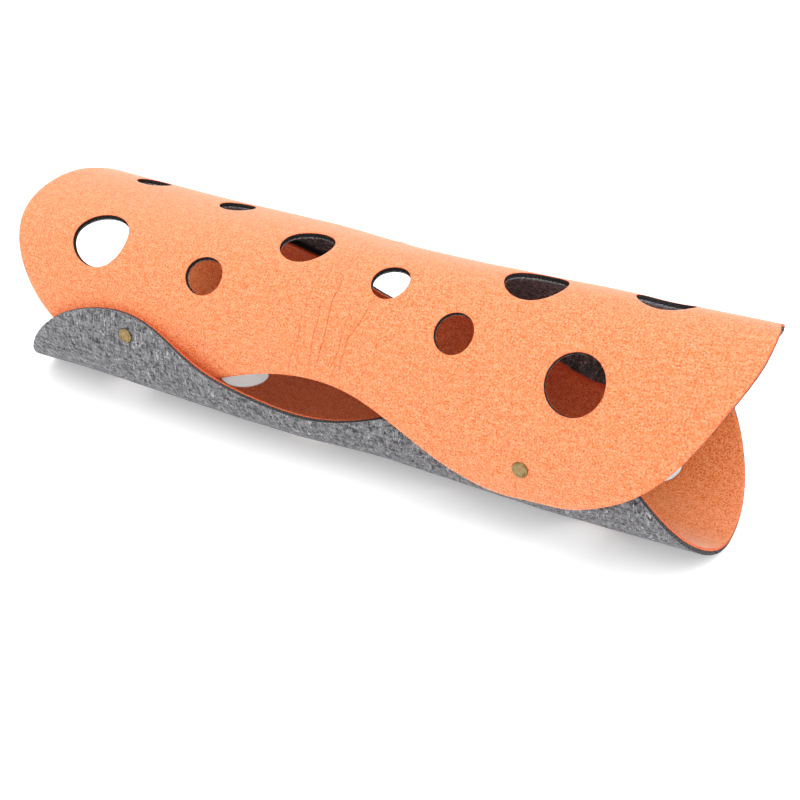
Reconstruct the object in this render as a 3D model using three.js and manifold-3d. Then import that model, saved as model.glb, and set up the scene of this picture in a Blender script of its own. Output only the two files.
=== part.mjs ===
// Felt cat tunnel: two felt sheets cut to one waisted outline. The top sheet arches over the
// bottom sheet, their long edges lap, and four brass snap fasteners hold the laps closed.
// Millimetres. X runs along the tunnel, -Y is the front, +Z is up. The tunnel lies on z = 0.
import * as THREE from "three";
import { mergeVertices } from "three/addons/utils/BufferGeometryUtils.js";
import Module from "manifold-3d";

const wasm = await Module();
wasm.setup();

// ---------------------------------------------------------------- sizes

const LENGTH = 870; // a sheet, end to end
const FELT = 7; // thickness of the felt
const LAP_OFFSET = 5.0; // each sheet's distance from the tube's surface where the two lap
const LAP_RISE = { along: 58, across: 104 }; // the lap opens over these distances from the waist and the fold line

// The outline, as half widths: a narrow waist, two lobes a side and round ends.
const WAIST_HALF_WIDTH = 165.73;
const LOBE_HALF_WIDTH = 240.86;
const LOBE_AT = 244.78; // distance of the widest place from the middle
const END_ROUNDNESS = 1.96; // 2 is an ellipse

// Where the cut strays from that outline: at a place along the sheet for a side, or across it for
// an end, and outwards by the amount.
const SIDE_TRIMS = [
  { sheet: "top", side: 1, at: -25, reach: 60, amount: 4 },
  { sheet: "top", side: 1, at: 253, reach: 33, amount: -6.5 },
  { sheet: "top", side: 1, at: 318, reach: 35, amount: -3.5 },
  { sheet: "bottom", side: 1, at: -130, reach: 66, amount: -7 },
  { sheet: "bottom", side: 1, at: -280, reach: 40, amount: -2 },
];
const END_TRIMS = [
  { sheet: "top", end: 1, at: 55, reach: 40, amount: 4.1 },
  { sheet: "top", end: 1, at: -13, reach: 15, amount: -2.8 },
  { sheet: "top", end: -1, at: -5, reach: 60, amount: -4.2 },
  { sheet: "bottom", end: 1, at: -80, reach: 60, amount: 2 },
];

// How the cells are spread over a sheet: one strip each side of the centre line, which lies flat on
// the floor, and finer ones where the snaps sit.
const CELLS_ALONG_MIDDLE = 16;
const CELLS_ALONG_END = 6;
const STRIPS_ACROSS = [
  { to: 0.12, cells: 1 },
  { to: 0.62, cells: 4 },
  { to: 0.93, cells: 5 },
  { to: 1.0, cells: 1 },
];

// The tube's section at five places along it, as the size of each wave of its outline:
// mean radius, sideways shift, ovalness, lean, and the three- and four-sided parts.
const TUBE = [
  { x: -435.0, radius: 130.77, shift: 9.45, oval: 17.63, lean: -6.99, three: 4.41, threeLean: -2.58, four: -1.72, fourLean: 1.07 },
  { x: -217.5, radius: 128.2, shift: 5.59, oval: 16.4, lean: -7.91, three: 4.41, threeLean: -2.87, four: -1.31, fourLean: 1.62 },
  { x: 0.0, radius: 123.88, shift: -0.46, oval: 10.74, lean: -4.12, three: 3.71, threeLean: -4.72, four: -0.53, fourLean: 1.41 },
  { x: 217.5, radius: 121.23, shift: -11.22, oval: 4.0, lean: -1.67, three: 2.56, threeLean: -6.1, four: 0.44, fourLean: 0.61 },
  { x: 435.0, radius: 123.67, shift: -29.23, oval: -0.45, lean: -6.62, three: 1.22, threeLean: -4.95, four: 1.4, fourLean: -0.56 },
];

// middle: where the sheet's centre line sits round the tube, in degrees from +Y over the top.
// twist: how far that turns from the tunnel's middle to its end, in degrees.
// slide: how far the sheet is pushed along the tunnel.
// turn: which way round the tube the front half of the sheet runs.
// lap: 1 for the sheet that is outside at the front right, -1 for the other.
const SHEETS = {
  top: { node: "felt_top", middle: 84.99, twist: -1.55, slide: 0, turn: 1, lap: 1 },
  bottom: { node: "felt_bottom", middle: 270.95, twist: 1.7, slide: -10.39, turn: -1, lap: -1 },
};

// Places where a loose edge stands off the tube, or curls into it.
const WAIST_CURLS = [
  { sheet: "bottom", side: 1, x: -13, reach: 74, power: 3, amount: 1.09 },
  { sheet: "bottom", side: -1, x: 13, reach: 74, power: 3, amount: 2.81 },
  { sheet: "bottom", side: 1, x: -125, reach: 50, power: 5, amount: 3.0 },
];
const END_CURLS = [{ sheet: "bottom", side: 1, end: 1, amount: -5.36 }];
const END_CURL_FROM = 243.6;
const END_CURL_OVER = 191.4;
const END_CURL_ACROSS = 172;
const TIP_CURL = { sheet: "bottom", along: 435, across: 95, reachAlong: 110, reachAcross: 75, amount: -4.5 };

// The tunnel's own weight flattens its underside.
const SETTLE = 2.2;

// Punched holes, placed on the flat sheet: along from its middle, across from its centre line
// (positive towards the front).
const HOLES = [
  { sheet: "top", along: -303.5, across: 81.5, radius: 35.5 },
  { sheet: "top", along: -156.5, across: 92.4, radius: 22.5 },
  { sheet: "top", along: -63.2, across: 21.2, radius: 30 },
  { sheet: "top", along: 55.4, across: 52.7, radius: 20.5 },
  { sheet: "top", along: 142.5, across: 89.8, radius: 21 },
  { sheet: "top", along: 275.0, across: 108.9, radius: 30 },
  { sheet: "top", along: 196.0, across: 8.5, radius: 32.5 },
  { sheet: "top", along: 323.0, across: -14.8, radius: 30 },
  { sheet: "top", along: -336.0, across: -61.3, radius: 21 },
  { sheet: "top", along: -199.0, across: -43.5, radius: 21 },
  { sheet: "bottom", along: -301.0, across: 86.5, radius: 30 },
  { sheet: "bottom", along: -179.0, across: 7.9, radius: 30 },
  { sheet: "bottom", along: -39.0, across: 73.1, radius: 30 },
  { sheet: "bottom", along: 156.0, across: 92.5, radius: 21 },
  { sheet: "bottom", along: 311.0, across: 78.1, radius: 30 },
  { sheet: "bottom", along: 330.0, across: -71.1, radius: 30 },
];
const HOLE_SIDES = 20;

// Snap fasteners: margin is from the outer sheet's edge to the snap's axis.
const SNAPS = [
  { name: "front_right", x: 239.5, side: 1, outer: "top", margin: 41.5 },
  { name: "front_left", x: -239.5, side: 1, outer: "bottom", margin: 24.5 },
  { name: "back_right", x: 239.5, side: -1, outer: "bottom", margin: 35.6 },
  { name: "back_left", x: -240.7, side: -1, outer: "top", margin: 35.6 },
];
const SNAP_SIDES = 20;
const SNAP_CUT_RADIUS = { outer: 3.8, inner: 3.1 }; // the holes that the posts pass through

// Height along the snap's axis, outwards, from the tube's surface, and radius there.
const SNAP_CAP = [
  { radius: 0, height: 10.5 },
  { radius: 3.4, height: 10.42 },
  { radius: 6.4, height: 10.1 },
  { radius: 8.0, height: 9.75 },
  { radius: 8.5, height: 9.4 },
  { radius: 8.3, height: 9.05 },
  { radius: 3.2, height: 9.05 },
  { radius: 3.2, height: 0.65 },
  { radius: 6.0, height: 0.65 },
  { radius: 6.0, height: 0.15 },
  { radius: 2.1, height: 0.15 },
  { radius: 2.1, height: 4.0 },
  { radius: 0, height: 4.0 },
];
const SNAP_STUD = [
  { radius: 0, height: 3.4 },
  { radius: 1.3, height: 3.3 },
  { radius: 1.75, height: 2.7 },
  { radius: 1.4, height: 1.6 },
  { radius: 1.4, height: -0.25 },
  { radius: 5.5, height: -0.25 },
  { radius: 5.5, height: -0.75 },
  { radius: 2.4, height: -0.75 },
  { radius: 2.4, height: -9.45 },
  { radius: 6.5, height: -9.45 },
  { radius: 6.5, height: -10.05 },
  { radius: 6.0, height: -10.35 },
  { radius: 0, height: -10.35 },
];

// The middle of the tunnel's box, which becomes the part's origin.
const BOX_CENTRE = { x: -4.6, y: 6.7 };

// ---------------------------------------------------------------- the tube's surface

// A table's column at x: the one smooth curve through all its rows.
function between(table, column, x) {
  let sum = 0;
  for (const row of table) {
    let share = row[column];
    for (const other of table)
      if (other !== row) share *= (x - other.x) / (row.x - other.x);
    sum += share;
  }
  return sum;
}

// The section at x, as its distance from the axis to each tangent line (its support), from which
// the outline's points and its arc length follow.
function section(x) {
  const c = between(TUBE, "radius", x),
    c1 = between(TUBE, "shift", x),
    c2 = between(TUBE, "oval", x),
    s2 = between(TUBE, "lean", x),
    c3 = between(TUBE, "three", x),
    s3 = between(TUBE, "threeLean", x),
    c4 = between(TUBE, "four", x),
    s4 = between(TUBE, "fourLean", x),
    s1 = c - c2 + s3 + c4; // puts the underside on the floor
  const { cos, sin } = Math;
  const support = (a) =>
    c + c1 * cos(a) + s1 * sin(a) + c2 * cos(2 * a) + s2 * sin(2 * a) + c3 * cos(3 * a) + s3 * sin(3 * a) + c4 * cos(4 * a) + s4 * sin(4 * a);
  const slope = (a) =>
    -c1 * sin(a) + s1 * cos(a) + 2 * (s2 * cos(2 * a) - c2 * sin(2 * a)) + 3 * (s3 * cos(3 * a) - c3 * sin(3 * a)) + 4 * (s4 * cos(4 * a) - c4 * sin(4 * a));
  const arc = (a) =>
    c * a + c1 * sin(a) - s1 * cos(a) + (c2 * sin(2 * a) - s2 * cos(2 * a)) / 2 + (c3 * sin(3 * a) - s3 * cos(3 * a)) / 3 + (c4 * sin(4 * a) - s4 * cos(4 * a)) / 4 + slope(a);
  const bend = (a) =>
    c - 3 * (c2 * cos(2 * a) + s2 * sin(2 * a)) - 8 * (c3 * cos(3 * a) + s3 * sin(3 * a)) - 15 * (c4 * cos(4 * a) + s4 * sin(4 * a));
  return { support, slope, arc, bend };
}

const clamp = (v, low, high) => Math.min(high, Math.max(low, v));
const near = (v, at, reach) => Math.exp(-(((v - at) / reach) ** 2)); // 1 at the place, fading over the reach

// The point of the tube's surface at x and the angle, moved out along the section's normal.
function tubePoint(x, angle, out) {
  const { support, slope } = section(x);
  const h = support(angle) + out,
    d = slope(angle);
  return new THREE.Vector3(
    x,
    h * Math.cos(angle) - d * Math.sin(angle),
    h * Math.sin(angle) + d * Math.cos(angle) + FELT / 2 - SETTLE,
  );
}

// The angle at which a sheet's point lies: its arc length from the sheet's centre line is t.
function angleOf(sheet, s, t) {
  const x = s + sheet.slide;
  const { arc, bend } = section(x);
  const middle = THREE.MathUtils.degToRad(sheet.middle + (sheet.twist * x) / (LENGTH / 2));
  const target = arc(middle) + sheet.turn * t;
  let angle = middle + (sheet.turn * t) / bend(middle);
  for (let i = 0; i < 12; i++) angle -= (arc(angle) - target) / bend(angle);
  return angle;
}

// How far the sheet stands off the tube: out or in where the sheets lap, and its curled edges.
function standOff(sheet, s, t) {
  const x = s + sheet.slide;
  let out = sheet.lap * LAP_OFFSET * Math.tanh(x / LAP_RISE.along) * Math.sin((clamp(t / LAP_RISE.across, -1, 1) * Math.PI) / 2);
  for (const curl of WAIST_CURLS)
    if (SHEETS[curl.sheet] === sheet && Math.sign(t) === curl.side)
      out += curl.amount * near(x, curl.x, curl.reach) * clamp(Math.abs(t) / WAIST_HALF_WIDTH, 0, 1.6) ** curl.power;
  for (const curl of END_CURLS)
    if (SHEETS[curl.sheet] === sheet && Math.sign(t) === curl.side)
      out += curl.amount * clamp((curl.end * s - END_CURL_FROM) / END_CURL_OVER, 0, 1.2) ** 2 * clamp(Math.abs(t) / END_CURL_ACROSS, 0, 1.5) ** 2;
  if (SHEETS[TIP_CURL.sheet] === sheet)
    out += TIP_CURL.amount * near(s, TIP_CURL.along, TIP_CURL.reachAlong) * near(t, TIP_CURL.across, TIP_CURL.reachAcross);
  return out;
}

// The flat sheet's point (s along, t across, n through its thickness) on the bent sheet.
function sheetPoint(sheet, s, t, n) {
  const x = s + sheet.slide,
    angle = angleOf(sheet, s, t),
    out = standOff(sheet, s, t);
  const point = tubePoint(x, angle, out + n);
  const underside = tubePoint(x, angle, out + FELT / 2).z;
  if (underside < 0) point.z -= underside; // it lies flat where it bears on the floor
  return point;
}

// ---------------------------------------------------------------- the flat outline

// Half width of the sheet between its two widest places.
function halfWidth(s) {
  return WAIST_HALF_WIDTH + ((LOBE_HALF_WIDTH - WAIST_HALF_WIDTH) * (1 - Math.cos((Math.PI * s) / LOBE_AT))) / 2;
}

// v runs along the sheet, -1 to 1 between the widest places and on to -2 and 2 at its ends;
// u runs across it, -1 to 1. A round end is a square of cells pressed into half an ellipse.
function plainPoint(v, u) {
  if (Math.abs(v) <= 1) return { s: v * LOBE_AT, t: u * halfWidth(v * LOBE_AT) };
  const e = Math.abs(v) - 1;
  const a = e * Math.sqrt(1 - (u * u) / 2),
    b = u * Math.sqrt(1 - (e * e) / 2);
  const r = Math.hypot(a, b) || 1;
  const bulge = (Math.abs(a / r) ** END_ROUNDNESS + Math.abs(b / r) ** END_ROUNDNESS) ** (-1 / END_ROUNDNESS);
  return {
    s: Math.sign(v) * (LOBE_AT + (LENGTH / 2 - LOBE_AT) * a * bulge),
    t: LOBE_HALF_WIDTH * b * bulge,
  };
}

// The same, with the cut's strays from the outline spread over the cells next to it.
function flatPoint(sheet, v, u) {
  const { s, t } = plainPoint(v, u);
  const share = Math.max(Math.abs(u), Math.abs(v) - 1) ** 4;
  let ds = 0,
    dt = 0;
  for (const trim of SIDE_TRIMS)
    if (SHEETS[trim.sheet] === sheet && Math.sign(u) === trim.side) dt += trim.side * trim.amount * near(s, trim.at, trim.reach) * share;
  for (const trim of END_TRIMS)
    if (SHEETS[trim.sheet] === sheet && Math.sign(v) === trim.end) {
      const outer = clamp((Math.abs(s) - LOBE_AT) / (LENGTH / 2 - LOBE_AT), 0, 1);
      ds += trim.end * trim.amount * near(t, trim.at, trim.reach) * outer * share;
    }
  return { s: s + ds, t: t + dt };
}

function stations() {
  const rows = [];
  for (let i = -CELLS_ALONG_END; i < 0; i++) rows.push(-1 + i / CELLS_ALONG_END);
  for (let i = 0; i <= CELLS_ALONG_MIDDLE; i++) rows.push(-1 + (2 * i) / CELLS_ALONG_MIDDLE);
  for (let i = 1; i <= CELLS_ALONG_END; i++) rows.push(1 + i / CELLS_ALONG_END);
  return rows;
}

function strips() {
  const half = [];
  let from = 0;
  for (const strip of STRIPS_ACROSS) {
    for (let i = 1; i <= strip.cells; i++) half.push(from + ((strip.to - from) * i) / strip.cells);
    from = strip.to;
  }
  return [...half.map((u) => -u).reverse(), 0, ...half];
}

// ---------------------------------------------------------------- solids

function geometryOf(positions, index) {
  const geometry = new THREE.BufferGeometry();
  geometry.setAttribute("position", new THREE.Float32BufferAttribute(positions, 3));
  geometry.setIndex(index);
  return geometry;
}

function solidOf(geometry) {
  const bare = geometry.clone();
  bare.deleteAttribute("normal");
  bare.deleteAttribute("uv");
  const merged = mergeVertices(bare, 1e-3);
  const triVerts = [];
  for (let i = 0; i < merged.index.count; i += 3) {
    const a = merged.index.getX(i),
      b = merged.index.getX(i + 1),
      c = merged.index.getX(i + 2);
    if (a !== b && b !== c && c !== a) triVerts.push(a, b, c);
  }
  const vertProperties = Float32Array.from(merged.attributes.position.array);
  let solid = new wasm.Manifold(new wasm.Mesh({ numProp: 3, vertProperties, triVerts: Uint32Array.from(triVerts) }));
  if (solid.volume() < 0) {
    for (let i = 0; i < triVerts.length; i += 3) [triVerts[i + 1], triVerts[i + 2]] = [triVerts[i + 2], triVerts[i + 1]];
    solid = new wasm.Manifold(new wasm.Mesh({ numProp: 3, vertProperties, triVerts: Uint32Array.from(triVerts) }));
  }
  return solid;
}

function geometryFrom(solid) {
  const mesh = solid.getMesh(),
    positions = [];
  for (let i = 0; i < mesh.numVert; i++)
    for (let k = 0; k < 3; k++) positions.push(mesh.vertProperties[i * mesh.numProp + k]);
  const geometry = geometryOf(positions, Array.from(mesh.triVerts));
  geometry.computeVertexNormals();
  return geometry;
}

// The whole sheet, before it is punched: its outer face, its inner face and the cut edge.
function bentSheet(sheet) {
  const rows = stations(),
    columns = strips(),
    nv = rows.length,
    nu = columns.length;
  const positions = [],
    index = [];
  for (const n of [FELT / 2, -FELT / 2])
    for (const v of rows)
      for (const u of columns) {
        const { s, t } = flatPoint(sheet, v, u);
        positions.push(...sheetPoint(sheet, s, t, n).toArray());
      }
  const at = (face, i, j) => face * nv * nu + i * nu + j;
  for (let i = 0; i + 1 < nv; i++)
    for (let j = 0; j + 1 < nu; j++) {
      const rising = (rows[i] + rows[i + 1]) * (columns[j] + columns[j + 1]) > 0;
      for (const face of [0, 1]) {
        const a = at(face, i, j),
          b = at(face, i + 1, j),
          c = at(face, i + 1, j + 1),
          d = at(face, i, j + 1);
        const pair = rising ? [[a, b, c], [a, c, d]] : [[a, b, d], [b, c, d]];
        for (const [p, q, r] of pair) index.push(...(face ? [p, r, q] : [p, q, r]));
      }
    }
  const rim = [];
  for (let j = 0; j + 1 < nu; j++) rim.push([0, j]);
  for (let i = 0; i + 1 < nv; i++) rim.push([i, nu - 1]);
  for (let j = nu - 1; j > 0; j--) rim.push([nv - 1, j]);
  for (let i = nv - 1; i > 0; i--) rim.push([i, 0]);
  rim.forEach(([i, j], k) => {
    const [p, q] = rim[(k + 1) % rim.length];
    const a = at(0, i, j),
      b = at(0, p, q),
      c = at(1, p, q),
      d = at(1, i, j);
    index.push(a, b, c, a, c, d);
  });
  return solidOf(geometryOf(positions, index));
}

// A punch's path through the bent sheet: a round plug that follows the sheet's bend.
function holePlug(sheet, hole) {
  const positions = [],
    index = [],
    deep = FELT / 2 + 3;
  for (const n of [deep, -deep]) {
    positions.push(...sheetPoint(sheet, hole.along, hole.across, n).toArray());
    for (let i = 0; i < HOLE_SIDES; i++) {
      const a = (2 * Math.PI * i) / HOLE_SIDES;
      positions.push(...sheetPoint(sheet, hole.along + hole.radius * Math.cos(a), hole.across + hole.radius * Math.sin(a), n).toArray());
    }
  }
  const low = HOLE_SIDES + 1;
  for (let i = 0; i < HOLE_SIDES; i++) {
    const j = (i + 1) % HOLE_SIDES;
    index.push(0, 1 + i, 1 + j);
    index.push(low, low + 1 + j, low + 1 + i);
    index.push(1 + i, low + 1 + i, low + 1 + j, 1 + i, low + 1 + j, 1 + j);
  }
  return solidOf(geometryOf(positions, index));
}

// Where a snap sits: a point of the tube's surface between the two sheets, and the outward normal.
function snapFrame(snap) {
  const sheet = SHEETS[snap.outer];
  const s = snap.x - sheet.slide;
  const angle = angleOf(sheet, s, snap.side * (halfWidth(s) - snap.margin));
  const at = (x, a) => tubePoint(x, a, 0);
  const origin = at(snap.x, angle);
  const alongX = at(snap.x + 1, angle).sub(at(snap.x - 1, angle));
  const round = at(snap.x, angle + 0.01).sub(at(snap.x, angle - 0.01));
  const normal = alongX.cross(round).normalize();
  if (normal.y * Math.cos(angle) + normal.z * Math.sin(angle) < 0) normal.negate();
  return { origin, turn: new THREE.Quaternion().setFromUnitVectors(new THREE.Vector3(0, 1, 0), normal) };
}

function turned(profile) {
  return new THREE.LatheGeometry(
    profile.map((p) => new THREE.Vector2(p.radius, p.height)),
    SNAP_SIDES,
  );
}

function postHole(snap, radius) {
  const { origin, turn } = snapFrame(snap);
  const pin = new THREE.CylinderGeometry(radius, radius, 24, SNAP_SIDES);
  pin.applyQuaternion(turn).translate(origin.x, origin.y, origin.z);
  return solidOf(pin);
}

// ---------------------------------------------------------------- the tunnel

const orangeFelt = () => new THREE.MeshStandardMaterial({ color: 0xf09c69, roughness: 0.95, metalness: 0 });
const greyFelt = () => new THREE.MeshStandardMaterial({ color: 0x77787b, roughness: 0.95, metalness: 0 });
const agedBrass = () => new THREE.MeshStandardMaterial({ color: 0x9a875a, roughness: 0.45, metalness: 0.85 });

function feltMesh(key, material) {
  const sheet = SHEETS[key];
  let solid = bentSheet(sheet);
  for (const hole of HOLES) if (hole.sheet === key) solid = solid.subtract(holePlug(sheet, hole));
  for (const snap of SNAPS) solid = solid.subtract(postHole(snap, snap.outer === key ? SNAP_CUT_RADIUS.outer : SNAP_CUT_RADIUS.inner));
  const mesh = new THREE.Mesh(geometryFrom(solid), material);
  mesh.name = sheet.node;
  return mesh;
}

function snapMesh(name, profile, snap) {
  const solid = solidOf(turned(profile));
  const mesh = new THREE.Mesh(geometryFrom(solid), agedBrass());
  mesh.name = name;
  const { origin, turn } = snapFrame(snap);
  mesh.position.copy(origin);
  mesh.quaternion.copy(turn);
  return mesh;
}

const tunnel = new THREE.Group();
tunnel.name = "felt_cat_tunnel";
tunnel.add(feltMesh("top", orangeFelt()));
tunnel.add(feltMesh("bottom", greyFelt()));
for (const snap of SNAPS) {
  tunnel.add(snapMesh("snap_cap_" + snap.name, SNAP_CAP, snap));
  tunnel.add(snapMesh("snap_stud_" + snap.name, SNAP_STUD, snap));
}
tunnel.position.set(-BOX_CENTRE.x, -BOX_CENTRE.y, 0);

export default tunnel;
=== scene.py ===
import math

import bpy
import numpy as np
from mathutils import Matrix, Quaternion, Vector
from mathutils.geometry import delaunay_2d_cdt


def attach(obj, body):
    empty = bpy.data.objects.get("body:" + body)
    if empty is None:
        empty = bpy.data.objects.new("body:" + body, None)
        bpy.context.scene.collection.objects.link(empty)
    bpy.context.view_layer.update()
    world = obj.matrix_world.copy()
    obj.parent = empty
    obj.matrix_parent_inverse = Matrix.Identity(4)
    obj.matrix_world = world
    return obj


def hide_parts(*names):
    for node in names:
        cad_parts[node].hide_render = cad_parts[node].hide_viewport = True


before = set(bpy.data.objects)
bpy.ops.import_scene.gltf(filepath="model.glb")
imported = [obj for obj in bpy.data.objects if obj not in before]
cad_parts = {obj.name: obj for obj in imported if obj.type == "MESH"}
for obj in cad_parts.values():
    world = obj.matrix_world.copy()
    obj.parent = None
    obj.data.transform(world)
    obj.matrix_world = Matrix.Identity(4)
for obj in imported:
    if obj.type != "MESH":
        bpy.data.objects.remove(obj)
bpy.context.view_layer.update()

# ------------------------------------------------------------------ the tunnel's sizes (mm)
# The same sizes and shape as the CAD part: two flat felt sheets laid on one closed tube surface.

LENGTH = 870.0
FELT = 7.0
LAP_OFFSET = 5.0
LAP_RISE_ALONG, LAP_RISE_ACROSS = 58.0, 104.0
WAIST_HALF_WIDTH = 165.73
LOBE_HALF_WIDTH = 240.86
LOBE_AT = 244.78
END_ROUNDNESS = 1.96
SETTLE = 2.2
BOX_CENTRE = (-4.6, 6.7)

# sheet, side or end, at, reach, amount
SIDE_TRIMS = (
    ("top", 1, -25.0, 60.0, 4.0),
    ("top", 1, 253.0, 33.0, -6.5),
    ("top", 1, 318.0, 35.0, -3.5),
    ("bottom", 1, -130.0, 66.0, -7.0),
    ("bottom", 1, -280.0, 40.0, -2.0),
)
END_TRIMS = (
    ("top", 1, 55.0, 40.0, 4.1),
    ("top", 1, -13.0, 15.0, -2.8),
    ("top", -1, -5.0, 60.0, -4.2),
    ("bottom", 1, -80.0, 60.0, 2.0),
)

TUBE_COLUMNS = ("x", "radius", "shift", "oval", "lean", "three", "three_lean", "four", "four_lean")
TUBE = np.array([
    (-435.0, 130.77, 9.45, 17.63, -6.99, 4.41, -2.58, -1.72, 1.07),
    (-217.5, 128.20, 5.59, 16.40, -7.91, 4.41, -2.87, -1.31, 1.62),
    (0.0, 123.88, -0.46, 10.74, -4.12, 3.71, -4.72, -0.53, 1.41),
    (217.5, 121.23, -11.22, 4.00, -1.67, 2.56, -6.10, 0.44, 0.61),
    (435.0, 123.67, -29.23, -0.45, -6.62, 1.22, -4.95, 1.40, -0.56),
])

SHEETS = {
    "top": dict(node="felt_top", middle=84.99, twist=-1.55, slide=0.0, turn=1, lap=1),
    "bottom": dict(node="felt_bottom", middle=270.95, twist=1.70, slide=-10.39, turn=-1, lap=-1),
}
# sheet, side, x, reach, power, amount
WAIST_CURLS = (("bottom", 1, -13.0, 74.0, 3, 1.09), ("bottom", -1, 13.0, 74.0, 3, 2.81), ("bottom", 1, -125.0, 50.0, 5, 3.0))
# sheet, side, end, amount
END_CURLS = (("bottom", 1, 1, -5.36),)
END_CURL_FROM, END_CURL_OVER, END_CURL_ACROSS = 243.6, 191.4, 172.0
# sheet, along, across, reach along, reach across, amount
TIP_CURL = ("bottom", 435.0, 95.0, 110.0, 75.0, -4.5)

# sheet, along, across, radius
HOLES = (
    ("top", -303.5, 81.5, 35.5),
    ("top", -156.5, 92.4, 22.5),
    ("top", -63.2, 21.2, 30.0),
    ("top", 55.4, 52.7, 20.5),
    ("top", 142.5, 89.8, 21.0),
    ("top", 275.0, 108.9, 30.0),
    ("top", 196.0, 8.5, 32.5),
    ("top", 323.0, -14.8, 30.0),
    ("top", -336.0, -61.3, 21.0),
    ("top", -199.0, -43.5, 21.0),
    ("bottom", -301.0, 86.5, 30.0),
    ("bottom", -179.0, 7.9, 30.0),
    ("bottom", -39.0, 73.1, 30.0),
    ("bottom", 156.0, 92.5, 21.0),
    ("bottom", 311.0, 78.1, 30.0),
    ("bottom", 330.0, -71.1, 30.0),
)

# name, x, side, outer sheet, margin
SNAPS = (
    ("front_right", 239.5, 1, "top", 41.5),
    ("front_left", -239.5, 1, "bottom", 24.5),
    ("back_right", 239.5, -1, "bottom", 35.6),
    ("back_left", -240.7, -1, "top", 35.6),
)
POST_HOLE = {"outer": 3.8, "inner": 3.1}

# ------------------------------------------------------------------ the tube's surface


def coefficients(x):
    """The section's waves at each x: one smooth curve through the table's rows."""
    x = np.atleast_1d(np.asarray(x, float))
    out = np.zeros((len(x), TUBE.shape[1] - 1))
    for i, row in enumerate(TUBE):
        share = np.ones_like(x)
        for j, other in enumerate(TUBE):
            if i != j:
                share *= (x - other[0]) / (row[0] - other[0])
        out += share[:, None] * row[1:]
    c, c1, c2, s2, c3, s3, c4, s4 = out.T
    s1 = c - c2 + s3 + c4
    return c, c1, s1, c2, s2, c3, s3, c4, s4


def support(k, a):
    c, c1, s1, c2, s2, c3, s3, c4, s4 = k
    return (c + c1 * np.cos(a) + s1 * np.sin(a) + c2 * np.cos(2 * a) + s2 * np.sin(2 * a)
            + c3 * np.cos(3 * a) + s3 * np.sin(3 * a) + c4 * np.cos(4 * a) + s4 * np.sin(4 * a))


def slope(k, a):
    c, c1, s1, c2, s2, c3, s3, c4, s4 = k
    return (-c1 * np.sin(a) + s1 * np.cos(a) + 2 * (s2 * np.cos(2 * a) - c2 * np.sin(2 * a))
            + 3 * (s3 * np.cos(3 * a) - c3 * np.sin(3 * a)) + 4 * (s4 * np.cos(4 * a) - c4 * np.sin(4 * a)))


def arc(k, a):
    c, c1, s1, c2, s2, c3, s3, c4, s4 = k
    return (c * a + c1 * np.sin(a) - s1 * np.cos(a) + (c2 * np.sin(2 * a) - s2 * np.cos(2 * a)) / 2
            + (c3 * np.sin(3 * a) - s3 * np.cos(3 * a)) / 3 + (c4 * np.sin(4 * a) - s4 * np.cos(4 * a)) / 4 + slope(k, a))


def bend(k, a):
    c, c1, s1, c2, s2, c3, s3, c4, s4 = k
    return (c - 3 * (c2 * np.cos(2 * a) + s2 * np.sin(2 * a)) - 8 * (c3 * np.cos(3 * a) + s3 * np.sin(3 * a))
            - 15 * (c4 * np.cos(4 * a) + s4 * np.sin(4 * a)))


def tube_point(x, a, out, k=None):
    k = coefficients(x) if k is None else k
    h, d = support(k, a) + out, slope(k, a)
    return np.stack([x, h * np.cos(a) - d * np.sin(a), h * np.sin(a) + d * np.cos(a) + FELT / 2 - SETTLE], -1)


def angle_of(sheet, s, t, k):
    x = s + sheet["slide"]
    middle = np.radians(sheet["middle"] + sheet["twist"] * x / (LENGTH / 2))
    target = arc(k, middle) + sheet["turn"] * t
    a = middle + sheet["turn"] * t / k[0]
    for _ in range(16):
        a = a - np.clip((arc(k, a) - target) / np.maximum(bend(k, a), 0.25 * k[0]), -0.3, 0.3)
    return a


def near(v, at, reach):
    return np.exp(-(((v - at) / reach) ** 2))


def stand_off(sheet, s, t):
    x = s + sheet["slide"]
    out = sheet["lap"] * LAP_OFFSET * np.tanh(x / LAP_RISE_ALONG) * np.sin(np.clip(t / LAP_RISE_ACROSS, -1, 1) * np.pi / 2)
    for name, side, at, reach, power, amount in WAIST_CURLS:
        if SHEETS[name] is sheet:
            out = out + np.where(np.sign(t) == side, amount * near(x, at, reach) * np.clip(np.abs(t) / WAIST_HALF_WIDTH, 0, 1.6) ** power, 0)
    for name, side, end, amount in END_CURLS:
        if SHEETS[name] is sheet:
            out = out + np.where(np.sign(t) == side, amount * np.clip((end * s - END_CURL_FROM) / END_CURL_OVER, 0, 1.2) ** 2
                                 * np.clip(np.abs(t) / END_CURL_ACROSS, 0, 1.5) ** 2, 0)
    name, along, across, reach_along, reach_across, amount = TIP_CURL
    if SHEETS[name] is sheet:
        out = out + amount * near(s, along, reach_along) * near(t, across, reach_across)
    return out


def half_width(s):
    return WAIST_HALF_WIDTH + (LOBE_HALF_WIDTH - WAIST_HALF_WIDTH) * (1 - np.cos(np.pi * s / LOBE_AT)) / 2


def settle(points):
    """Moves the row's own frame so that the box's middle is the origin."""
    points = points.copy()
    points[..., 0] -= BOX_CENTRE[0]
    points[..., 1] -= BOX_CENTRE[1]
    return points


def sheet_points(sheet, s, t, n, relief=0.0):
    """Flat points (s along, t across, n through the felt) on the bent sheet, with the relief added outwards."""
    s, t = np.asarray(s, float), np.asarray(t, float)
    x = s + sheet["slide"]
    k = coefficients(x)
    a = angle_of(sheet, s, t, k)
    off = stand_off(sheet, s, t)
    p = tube_point(x, a, off + n + relief, k)
    under = tube_point(x, a, off + FELT / 2 + relief, k)[:, 2]
    p[:, 2] -= np.minimum(under, 0)
    return settle(p)


# ------------------------------------------------------------------ unevenness and creases

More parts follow.
